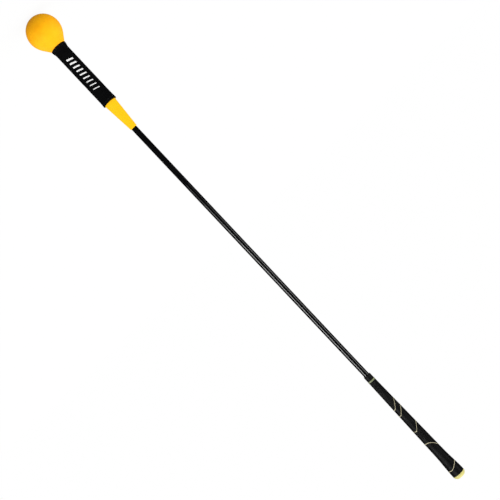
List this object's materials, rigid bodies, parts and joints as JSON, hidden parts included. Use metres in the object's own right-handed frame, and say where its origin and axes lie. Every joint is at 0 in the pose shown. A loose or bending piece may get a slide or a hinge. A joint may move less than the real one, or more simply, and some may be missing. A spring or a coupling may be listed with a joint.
{
  "type": "swing trainer stick",
  "caption": "Flexible golf swing trainer: a soft weighted ball head in a fabric sleeve, a tapered boot, a slim flexible shaft and a rubber golf grip with a domed cap.",
  "frame": {"origin": "on the stick's axis at the ball's lowest point, with the stick hanging ball down", "axes": "+Z along the stick from the ball to the butt of the grip, -Y the side with the printed bars, +Y the side with the sleeve's seam, X the direction of bending"},
  "size_m": [0.07, 0.07, 1.2192],
  "materials": {
    "ball_rubber": "soft matt moulded rubber foam",
    "boot_rubber": "matt moulded rubber",
    "steel": "zinc plated",
    "foam": "closed-cell rubber",
    "sleeve_fabric": "knit-faced neoprene",
    "seam_thread": "polyester overlock thread",
    "white_print": "screen-printed film",
    "fibreglass": "gloss-coated fibreglass",
    "grip_rubber": "textured grip rubber",
    "grip_yellow": "pale inlaid rubber",
    "cap_yellow": "satin moulded rubber",
    "tape": "double-sided paper tape",
    "adapter_plastic": "moulded plastic"
  },
  "bodies": {
    "grip_body": {"shaft_section_1": "fibreglass", "grip": "grip_rubber", "grip_tape": "tape", "grip_adapter": "adapter_plastic", "grip_ring": "grip_yellow", "grip_lines": "grip_yellow", "butt_cap": "cap_yellow"},
    "shaft_body_2": {"shaft_section_2": "fibreglass"},
    "shaft_body_3": {"shaft_section_3": "fibreglass"},
    "shaft_body_4": {"shaft_section_4": "fibreglass"},
    "shaft_body_5": {"shaft_section_5": "fibreglass"},
    "shaft_body_6": {"shaft_section_6": "fibreglass"},
    "head_body": {"shaft_section_7": "fibreglass", "boot": "boot_rubber", "head_weight": "steel", "weight_pin": "steel", "weight_jacket": "foam", "ball_insert": "steel", "ball_stud": "steel", "ball": "ball_rubber", "sleeve": "sleeve_fabric", "sleeve_seam": "seam_thread", "sleeve_print": "white_print"}
  },
  "joints": [
    {"name": "shaft_flex_1", "type": "hinge", "parent": "grip_body", "child": "shaft_body_2", "pos_m": [0, 0, 0.89543], "axis": [0, 1, 0], "range_deg": [-11.7, 11.7], "stiffness_Nm_per_rad": 310},
    {"name": "shaft_flex_2", "type": "hinge", "parent": "shaft_body_2", "child": "shaft_body_3", "pos_m": [0, 0, 0.7855], "axis": [0, 1, 0], "range_deg": [-10.07, 10.07], "stiffness_Nm_per_rad": 310},
    {"name": "shaft_flex_3", "type": "hinge", "parent": "shaft_body_3", "child": "shaft_body_4", "pos_m": [0, 0, 0.67557], "axis": [0, 1, 0], "range_deg": [-8.39, 8.39], "stiffness_Nm_per_rad": 310},
    {"name": "shaft_flex_4", "type": "hinge", "parent": "shaft_body_4", "child": "shaft_body_5", "pos_m": [0, 0, 0.56563], "axis": [0, 1, 0], "range_deg": [-6.71, 6.71], "stiffness_Nm_per_rad": 310},
    {"name": "shaft_flex_5", "type": "hinge", "parent": "shaft_body_5", "child": "shaft_body_6", "pos_m": [0, 0, 0.4557], "axis": [0, 1, 0], "range_deg": [-5.03, 5.03], "stiffness_Nm_per_rad": 310},
    {"name": "shaft_flex_6", "type": "hinge", "parent": "shaft_body_6", "child": "head_body", "pos_m": [0, 0, 0.34577], "axis": [0, 1, 0], "range_deg": [-3.35, 3.35], "stiffness_Nm_per_rad": 310}
  ]
}
